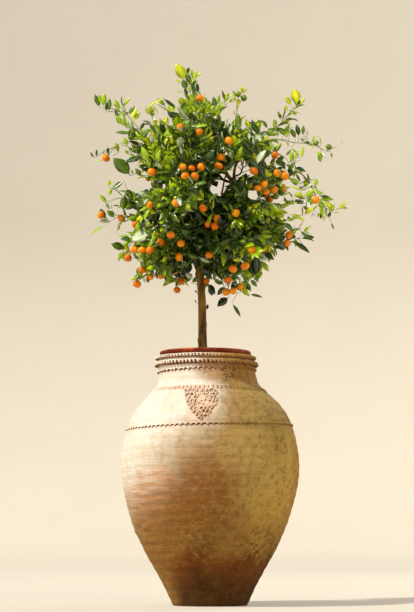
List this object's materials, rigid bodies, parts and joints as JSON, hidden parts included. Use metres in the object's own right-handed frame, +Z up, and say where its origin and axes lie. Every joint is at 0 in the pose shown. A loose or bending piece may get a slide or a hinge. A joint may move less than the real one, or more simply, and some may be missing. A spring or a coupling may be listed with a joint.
{
  "type": "calamondin orange tree in a terracotta oil jar",
  "caption": "Small citrus tree with glossy leaves and ripe orange fruits on one stem, potted in the mouth of a tall egg-shaped terracotta jar with rolled neck, raised bands and a grape relief.",
  "frame": {"origin": "centre of the jar's flat underside, on the ground", "axes": "+Z up along the jar and the stem, -Y towards the side with the grape relief, +X to the right as that side is seen"},
  "size_m": [1.067, 1, 2.1888],
  "materials": {
    "terracotta": "matte",
    "rust_clay": "satin",
    "soil": "matte",
    "bark": "matte",
    "foliage": "satin",
    "fruit": "satin"
  },
  "bodies": {
    "root": {"bough_1": "bark", "bough_2": "bark", "bough_3": "bark", "bough_4": "bark", "bough_5": "bark", "bough_6": "bark", "bough_7": "bark", "bough_8": "bark", "grape_relief": "terracotta", "inner_pot": "rust_clay", "jar": "terracotta", "leaves_back_1": "foliage", "leaves_back_2": "foliage", "leaves_back_3": "foliage", "leaves_cap_1": "foliage", "leaves_crest_left": "foliage", "leaves_crest_middle": "foliage", "leaves_crest_right": "foliage", "leaves_crest_sprig": "foliage", "leaves_front_1": "foliage", "leaves_front_2": "foliage", "leaves_front_3": "foliage", "leaves_hem_left": "foliage", "leaves_hem_right": "foliage", "leaves_hem_sprig": "foliage", "leaves_left_hem": "foliage", "leaves_left_high": "foliage", "leaves_left_horn": "foliage", "leaves_left_horn_inner": "foliage", "leaves_left_low": "foliage", "leaves_left_middle": "foliage", "leaves_left_shoulder": "foliage", "leaves_left_skirt": "foliage", "leaves_right_far": "foliage", "leaves_right_hem": "foliage", "leaves_right_high": "foliage", "leaves_right_horn": "foliage", "leaves_right_middle": "foliage", "leaves_right_reach": "foliage", "leaves_right_skirt": "foliage", "leaves_shoulder_1": "foliage", "leaves_shoulder_2": "foliage", "leaves_shoulder_3": "foliage", "leaves_shoulder_4": "foliage", "leaves_skirt_1": "foliage", "leaves_skirt_2": "foliage", "leaves_skirt_3": "foliage", "leaves_skirt_4": "foliage", "leaves_skirt_5": "foliage", "leaves_top": "foliage", "leaves_waist_1": "foliage", "leaves_waist_2": "foliage", "leaves_waist_3": "foliage", "leaves_waist_4": "foliage", "leaves_waist_5": "foliage", "neck_rings": "terracotta", "rosette_band": "terracotta", "shoulder_cord": "terracotta", "soil": "soil", "stem": "bark"}
  },
  "joints": []
}
